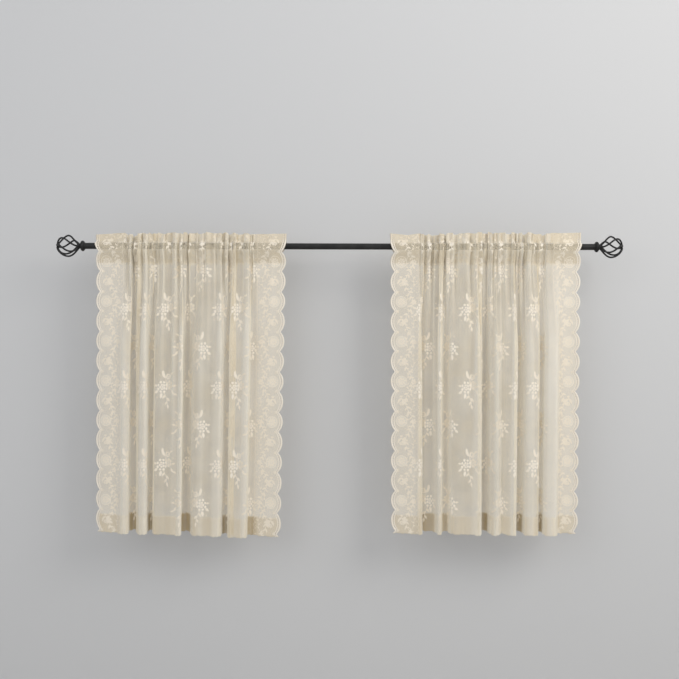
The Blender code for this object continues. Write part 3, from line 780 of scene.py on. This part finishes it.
# How far the figures stay in from the cloth's ends and sides, and their tone in the heading.
laid = {"endIn": 0.0004, "sideIn": 0.0002, "toneStart": 0.012, "toneSpan": 0.012, "leastTone": 0.15}


def meshRelief(name, cloth, parts, material):
    # parts is a list of (relief, side).
    verts, faces, grain, tones = [], [], [], []
    for relief, side in parts:
        points = np.array(relief.points)
        drop = np.clip(points[:, 1], laid["endIn"], hang["length"] - laid["endIn"])
        inset = scallop(drop) + laid["sideIn"]
        u = np.clip(points[:, 0], inset, cloth.width - inset)
        start = sum(len(v) for v in verts)
        verts.append(cloth.place(u, drop, float(side), lift=points[:, 2]))
        faces += [tuple(start + i for i in face) for face in relief.faces]
        grain += relief.grain
        # The figures of the turned-over heading are fainter.
        clear = ease((drop - laid["toneStart"]) / laid["toneSpan"])
        clear = laid["leastTone"] + (1 - laid["leastTone"]) * clear
        tones += list(np.array(relief.tones) * clear)
    verts = np.concatenate(verts)
    item = newObject(name, verts, faces, material)
    writeUv(item.data, "grain", np.array(grain))
    writeValues(item.data, "tone", tones)
    print(name, "triangles", sum(len(face) - 2 for face in faces))
    return item


def makeLace(word, cloth, material):
    relief = Relief()
    layField(relief, cloth, field)
    figure = drawBorder(border, hang["length"] / mm)
    stamp(relief, figure, (0.0, 0.0), 1)
    stamp(relief, figure, (cloth.width, 0.0), -1)
    return meshRelief("laceFigures" + word, cloth, [(relief, -1)], material)


stitches = {
    "length": 0.0026, "gap": 0.0011, "half": 0.00028, "rise": 0.0005,
    "sideIn": 0.014, "hemIn": 0.002,
}


def makeStitches(word, cloth, s, material):
    front, back = Relief(), Relief()
    pitch = s["length"] + s["gap"]
    for relief in (front, back):
        for drop in (hang["upperSeam"], hang["lowerSeam"], hang["hemDrop"] + s["hemIn"]):
            for u in np.arange(s["sideIn"], cloth.width - s["sideIn"], pitch):
                relief.bar([(u, drop), (u + s["length"], drop)], s["half"], s["rise"])
    return meshRelief("seamStitches" + word, cloth, [(front, -1), (back, 1)], material)


# Materials. Shared effects are node groups that give only masks and heights.

class Graph:
    # A short way to write math nodes in one node tree.

    def __init__(self, tree):
        self.nodes, self.links = tree.nodes, tree.links

    def feed(self, socket, value):
        if isinstance(value, bpy.types.NodeSocket):
            self.links.new(value, socket)
        else:
            socket.default_value = value

    def math(self, operation, *values, clamp=False):
        node = self.nodes.new("ShaderNodeMath")
        node.operation = operation
        node.use_clamp = clamp
        for socket, value in zip(node.inputs, values):
            self.feed(socket, value)
        return node.outputs[0]

    def times(self, first, second):
        return self.math("MULTIPLY", first, second)

    def plus(self, first, second, clamp=False):
        return self.math("ADD", first, second, clamp=clamp)

    def band(self, value, start, full, fall, end):
        # 1 from full to fall, and 0 before start and past end.
        return self.times(self.spread(value, start, full), self.spread(value, end, fall))

    def spread(self, value, low, high, start=0.0, end=1.0):
        node = self.nodes.new("ShaderNodeMapRange")
        node.interpolation_type = "SMOOTHSTEP"
        for socket, number in zip(node.inputs, (value, low, high, start, end)):
            self.feed(socket, number)
        return node.outputs[0]

    def noise(self, vector, scale, detail=3.0, roughness=0.55):
        node = self.nodes.new("ShaderNodeTexNoise")
        self.feed(node.inputs["Vector"], vector)
        node.inputs["Scale"].default_value = scale
        node.inputs["Detail"].default_value = detail
        node.inputs["Roughness"].default_value = roughness
        return node.outputs["Fac"]

    def mixColour(self, factor, first, second):
        node = self.nodes.new("ShaderNodeMix")
        node.data_type = "RGBA"
        self.feed(node.inputs[0], factor)
        self.feed(node.inputs[6], first)
        self.feed(node.inputs[7], second)
        return node.outputs[2]

    def bump(self, height, strength, distance):
        node = self.nodes.new("ShaderNodeBump")
        node.inputs["Strength"].default_value = strength
        node.inputs["Distance"].default_value = distance
        self.links.new(height, node.inputs["Height"])
        return node.outputs["Normal"]


def makeNetGroup():
    # Round-holed net: three crossed waves, whose peaks are the holes.
    tree = bpy.data.node_groups.new("roundNet", "ShaderNodeTree")
    for name, way, kind in (
        ("Vector", "INPUT", "Vector"), ("Pitch", "INPUT", "Float"), ("Fullness", "INPUT", "Float"),
        ("Thread", "OUTPUT", "Float"), ("Height", "OUTPUT", "Float"),
    ):
        tree.interface.new_socket(name=name, in_out=way, socket_type="NodeSocket" + kind)
    g = Graph(tree)
    start, end = g.nodes.new("NodeGroupInput"), g.nodes.new("NodeGroupOutput")
    split = g.nodes.new("ShaderNodeSeparateXYZ")
    g.links.new(start.outputs["Vector"], split.inputs[0])
    turns = g.math("DIVIDE", tau, start.outputs["Pitch"])
    x = g.times(split.outputs[0], turns)
    y = g.times(split.outputs[1], turns)
    yPart = g.times(y, 0.866)  # the sine of 60 degrees
    xPart = g.times(x, 0.5)
    a = g.math("COSINE", x)
    b = g.math("COSINE", g.plus(xPart, yPart))
    c = g.math("COSINE", g.math("SUBTRACT", yPart, xPart))
    total = g.plus(g.plus(a, b), c)
    edge = start.outputs["Fullness"]
    thread = g.spread(total, g.plus(edge, 0.45), g.math("SUBTRACT", edge, 0.45))
    g.links.new(thread, end.inputs["Thread"])
    g.links.new(g.spread(total, 1.6, -1.3), end.inputs["Height"])
    return tree


netLook = {
    "pitch": 0.0021,
    "pale": (0.9, 0.79, 0.595, 1),
    "warm": (0.84, 0.705, 0.475, 1),
    # The painted highlight colour for edge-on cloth and fold crests. It also pales the disc and the
    # threads.
    "bright": (0.98, 0.92, 0.78, 1),
    "border": (0.8, 0.725, 0.605, 1),
    "doubled": (0.7, 0.58, 0.385, 1),
    # Painted shade for the hem's recesses.
    "hemRecessShade": (0.5, 0.375, 0.185, 1),
    "holeAlpha": 0.06, "threadAlpha": 0.92,
    # How full the net is in the field, and how much fuller in each other place.
    "fieldFullness": -0.64,
    "more": {
        "border": 0.7, "disc": 0.85, "heading": 0.6, "hem": 0.45, "turned": 2.0,
        "overRod": -0.35, "gap": -0.9, "hemRecessShade": 0.5, "front": 0.45,
    },
    # Painted highlights on edge-on cloth and on the frontmost crests, then a paler tone for the disc
    # and the threads.
    "turnedHighlight": 1.1, "crestHighlight": 0.4, "discBright": 0.3, "threadBright": 0.25,
    # Mixes for the border, the doubled cloth and the painted shade in the hem's recesses.
    "borderTint": 0.6, "doubledTint": 0.75, "hemRecessShadeTint": 0.8,
    # Soft edges, from the border's, the seam's and the hem's own places, and bands.
    "borderEdge": (0.003, -0.005),
    "seamEdge": (0.0015, -0.0015),
    "hemEdge": (-0.001, 0.002),
    "rodBand": (0.024, 0.029, 0.047, 0.052),
    "gapBand": (0.0055, 0.0065, 0.0085, 0.0095),
    "frontBelow": (0.085, 0.1),
    # The patches where the rod shows: their scale, and the noise spread over them.
    "rodPatches": (34.0, 0.4, 0.6, -0.6, 1.5),
}


def makeDiscMask(g, edgeIn, drop):
    # The dense round in every second scallop of the border.
    second, first = hang["scallopPitches"]
    period = first + second
    start = hang["firstNotch"] - first
    along = g.math("FLOORED_MODULO", g.math("SUBTRACT", drop, start - period), period)
    aside = g.math("SUBTRACT", along, first + second / 2)
    inset, radius = (size * mm for size in border["round"])
    across = g.math("SUBTRACT", edgeIn, inset)
    far = g.math("SQRT", g.plus(g.math("POWER", aside, 2.0), g.math("POWER", across, 2.0)))
    return g.spread(far, radius, radius - 0.002)


def near(place, offs):
    return [place + off for off in offs]


def makeNetMaterial(s, netGroup):
    material, shader = newMaterial("laceNet")
    g = Graph(material.node_tree)
    uv = g.nodes.new("ShaderNodeUVMap")
    uv.uv_map = "OFBake"
    node = g.nodes.new("ShaderNodeVectorMath")
    node.operation = "SCALE"
    node.inputs["Scale"].default_value = net["flatScale"]
    g.links.new(uv.outputs[0], node.inputs[0])
    flat = node.outputs[0]
    reads = {}
    for key in netReads:
        node = g.nodes.new("ShaderNodeAttribute")
        node.attribute_name = key
        reads[key] = node.outputs["Fac"]
    cloudy = g.noise(flat, 28.0)
    edgeIn, drop = reads["edgeIn"], reads["drop"]
    inBorder = g.spread(edgeIn, *near(net["borderWidth"], s["borderEdge"]))
    disc = makeDiscMask(g, edgeIn, drop)
    heading = g.spread(drop, *near(hang["lowerSeam"], s["seamEdge"]))
    scale, *ends = s["rodPatches"]
    overRod = g.band(drop, *s["rodBand"])
    overRod = g.times(overRod, g.spread(g.noise(flat, scale, 2.0), *ends))
    gap = g.band(reads["rim"], *s["gapBand"])
    hem = g.spread(drop, *near(hang["hemDrop"], s["hemEdge"]))
    # The hem's recesses, where the cloth lies farthest back: painted shade, and a denser net.
    hemRecessShade = g.times(hem, reads["deep"])
    front = g.times(reads["front"], g.spread(drop, *s["frontBelow"]))
    fullness = g.plus(s["fieldFullness"], g.spread(cloudy, 0.3, 0.7, -0.15, 0.15))
    masks = (inBorder, disc, heading, hem, reads["turned"], overRod, gap, hemRecessShade, front)
    for mask, more in zip(masks, s["more"].values()):
        fullness = g.plus(fullness, g.times(mask, more))
    node = g.nodes.new("ShaderNodeGroup")
    node.node_tree = netGroup
    for socket, value in zip(node.inputs, (flat, s["pitch"], fullness)):
        g.feed(socket, value)
    weave = node.outputs
    alpha = g.spread(weave["Thread"], 0.0, 1.0, s["holeAlpha"], s["threadAlpha"])
    tone = g.spread(g.noise(flat, 9.0), 0.35, 0.65)
    colour = g.mixColour(tone, s["pale"], s["warm"])
    colour = g.mixColour(g.times(inBorder, s["borderTint"]), colour, s["border"])
    doubled = g.math("MAXIMUM", heading, hem)
    colour = g.mixColour(g.times(doubled, s["doubledTint"]), colour, s["doubled"])
    # Painted highlights: edge-on cloth and the frontmost fold crests are mixed towards a pale
    # highlight colour. The border's disc and the threads also get a paler tone of their own.
    light = g.times(reads["turned"], s["turnedHighlight"])
    light = g.plus(light, g.times(front, s["crestHighlight"]))
    single = g.math("SUBTRACT", 1.0, heading)
    light = g.plus(light, g.times(g.times(disc, single), s["discBright"]))
    light = g.plus(light, g.times(weave["Height"], s["threadBright"]), clamp=True)
    colour = g.mixColour(light, colour, s["bright"])
    # Painted shade: the hem's recesses are mixed towards a dark yellow.
    colour = g.mixColour(g.times(hemRecessShade, s["hemRecessShadeTint"]), colour, s["hemRecessShade"])
    g.feed(shader.inputs["Base Color"], colour)
    g.feed(shader.inputs["Alpha"], alpha)
    g.feed(shader.inputs["Normal"], g.bump(weave["Height"], 0.5, 0.0003))
    g.feed(shader.inputs["Roughness"], g.spread(cloudy, 0.2, 0.8, 0.74, 0.9))
    shader.inputs["Sheen Weight"].default_value = 0.9
    shader.inputs["Sheen Roughness"].default_value = 0.4
    shader.inputs["Sheen Tint"].default_value = (1.0, 0.95, 0.85, 1)
    return material


reliefLook = {
    "pale": (0.95, 0.88, 0.76, 1),
    "warm": (0.8, 0.71, 0.555, 1),
    "shade": (0.7, 0.6, 0.46, 1), "shadeTint": 0.18,
    "satinPitch": 0.0009,
}


def makeReliefMaterial(s):
    material, shader = newMaterial("laceThread")
    g = Graph(material.node_tree)
    uv = g.nodes.new("ShaderNodeUVMap")
    uv.uv_map = "grain"
    split = g.nodes.new("ShaderNodeSeparateXYZ")
    g.links.new(uv.outputs[0], split.inputs[0])
    slant = g.plus(split.outputs[0], g.times(split.outputs[1], 0.6))
    wave = g.math("SINE", g.times(slant, tau / s["satinPitch"]))
    satin = g.spread(wave, -1.0, 1.0)
    tone = g.nodes.new("ShaderNodeAttribute")
    tone.attribute_name = "tone"
    patchy = g.spread(g.noise(uv.outputs[0], 60.0), 0.3, 0.7, -0.2, 0.2)
    paleness = g.plus(tone.outputs["Fac"], patchy, clamp=True)
    colour = g.mixColour(paleness, s["warm"], s["pale"])
    colour = g.mixColour(g.times(satin, s["shadeTint"]), colour, s["shade"])
    g.feed(shader.inputs["Base Color"], colour)
    g.feed(shader.inputs["Normal"], g.bump(satin, 0.45, 0.0002))
    g.feed(shader.inputs["Roughness"], g.spread(satin, 0.0, 1.0, 0.62, 0.78))
    shader.inputs["Sheen Weight"].default_value = 0.2
    return material


rodLook = {
    "black": (0.014, 0.014, 0.0135, 1),
    "worn": (0.024, 0.024, 0.023, 1),
}


def makeRodMaterial(s):
    material, shader = newMaterial("satinBlack")
    g = Graph(material.node_tree)
    coordinates = g.nodes.new("ShaderNodeTexCoord")
    grain = g.noise(coordinates.outputs["Object"], 900.0, 2.0)
    clouds = g.noise(coordinates.outputs["Object"], 35.0)
    colour = g.mixColour(g.spread(clouds, 0.35, 0.75), s["black"], s["worn"])
    g.feed(shader.inputs["Base Color"], colour)
    g.feed(shader.inputs["Roughness"], g.spread(clouds, 0.2, 0.8, 0.34, 0.5))
    g.feed(shader.inputs["Normal"], g.bump(grain, 0.25, 0.0002))
    shader.inputs["Specular IOR Level"].default_value = 0.25
    return material


netGroup = makeNetGroup()
netMaterial = makeNetMaterial(netLook, netGroup)
threadMaterial = makeReliefMaterial(reliefLook)
rodMaterial = makeRodMaterial(rodLook)
print("materials made")


for word, panel in panels.items():
    name = word.capitalize()
    cloth = Cloth(panel)
    sheet = makeNet(name, cloth, netMaterial)
    figures = makeLace(name, cloth, threadMaterial)
    seams = makeStitches(name, cloth, stitches, threadMaterial)
    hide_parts(panel["node"])
    for piece in (sheet, figures, seams):
        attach(piece, "root")
    print(word, "panel made, flat width", round(float(cloth.width), 4))


# The rod keeps its own mesh. The collars are made finer, on the part's measures. The cages
# have less twist, and are slightly wider and shorter, than the part's.

finial = {
    "collar": (
        (0.7758, 0.0098), (0.778, 0.0108), (0.78, 0.014), (0.7828, 0.016), (0.7858, 0.016),
        (0.7884, 0.0138), (0.7904, 0.01), (0.7922, 0.0084), (0.7942, 0.0084),
    ),
    "hub": ((0.0, 0.008), (0.003, 0.0092), (0.0052, 0.0086), (0.0068, 0.005)),
    "cageStart": 0.7945, "cageRadius": 0.0318, "cageLength": 0.0668, "neckRadius": 0.0058,
    "wireRadius": 0.0027, "wires": 6, "wireSides": 12, "wireSteps": 44, "wireEnds": (0.03, 0.955),
    "swell": 1.2, "twist": math.radians(87), "phase": math.radians(48.5),
    "tipRadius": 0.0062, "tipIn": 0.0036, "tipOpening": 0.12, "tipRows": 15, "tipSides": 32,
    "turnedStep": 0.0006, "turnedSides": 48, "sharpAngle": math.radians(40),
}


class Shell:
    # Turned forms and round wires, gathered in one mesh.

    def __init__(self):
        self.verts, self.faces = [], []

    def rings(self, rings):
        start, sides = len(self.verts), len(rings[0])
        for ring in rings:
            self.verts += [tuple(point) for point in ring]
        for i in range(len(rings) - 1):
            for k in range(sides):
                a, b = start + i * sides + k, start + i * sides + (k + 1) % sides
                self.faces.append((a, b, b + sides, a + sides))
        last = start + (len(rings) - 1) * sides
        self.faces.append(tuple(range(start + sides - 1, start - 1, -1)))
        self.faces.append(tuple(range(last, last + sides)))

    def turned(self, profile, start, side, sides):
        angles = np.linspace(0, tau, sides, endpoint=False)
        across, up = np.cos(angles), np.sin(angles)
        self.rings([
            np.stack([np.full(sides, side * (start + along)), r * across, r * up], -1)
            for along, r in profile
        ])

    def wire(self, points, radius, sides):
        rings, across = [], np.array([0.0, 0.0, 1.0])
        angles = np.linspace(0, tau, sides, endpoint=False)
        for i, point in enumerate(points):
            way = points[min(i + 1, len(points) - 1)] - points[max(i - 1, 0)]
            way = way / np.linalg.norm(way)
            across = across - way * across.dot(way)
            across = across / np.linalg.norm(across)
            other = np.cross(way, across)
            offs = [across * math.cos(a) + other * math.sin(a) for a in angles]
            rings.append([point + radius * off for off in offs])
        self.rings(rings)


def cageOutline(s, share):
    widest = s["cageLength"] - s["cageRadius"]
    if share < 0.5:
        swell = math.sin(math.pi * share) ** s["swell"]
        return widest * share * 2, s["neckRadius"] + (s["cageRadius"] - s["neckRadius"]) * swell
    angle = math.pi * (share - 0.5)
    return widest + s["cageRadius"] * math.sin(angle), s["cageRadius"] * math.cos(angle)


def makeFinial(word, side, s, material):
    collar = Shell()
    collar.turned(smoothPath(s["collar"], s["turnedStep"]), 0.0, side, s["turnedSides"])
    cage = Shell()
    hub = smoothPath(s["hub"], s["turnedStep"])
    cage.turned(hub, s["cageStart"], side, s["turnedSides"])
    for number in range(s["wires"]):
        points = []
        for share in np.linspace(*s["wireEnds"], s["wireSteps"]):
            along, radius = cageOutline(s, share)
            angle = s["phase"] + tau * number / s["wires"] + s["twist"] * along / s["cageLength"]
            x = side * (s["cageStart"] + along)
            points.append((x, -radius * math.cos(angle), radius * math.sin(angle)))
        cage.wire(np.array(points), s["wireRadius"], s["wireSides"])
    angles = np.linspace(s["tipOpening"], math.pi - s["tipOpening"], s["tipRows"])
    middle = s["cageLength"] - s["tipIn"]
    tip = [(middle - s["tipRadius"] * math.cos(a), s["tipRadius"] * math.sin(a)) for a in angles]
    cage.turned(tip, s["cageStart"], side, s["tipSides"])
    for name, shell in (("collar", collar), ("cage", cage)):
        piece = newObject(name + word, shell.verts, shell.faces, material)
        piece.data.set_sharp_from_angle(angle=s["sharpAngle"])
        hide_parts("finial_" + name + "_" + word.lower())
        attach(piece, "root")


makeFinial("Left", -1, finial, rodMaterial)
makeFinial("Right", 1, finial, rodMaterial)
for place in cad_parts["rod"].material_slots:
    place.material = rodMaterial
print("rod and finials made")

bpy.context.view_layer.update()
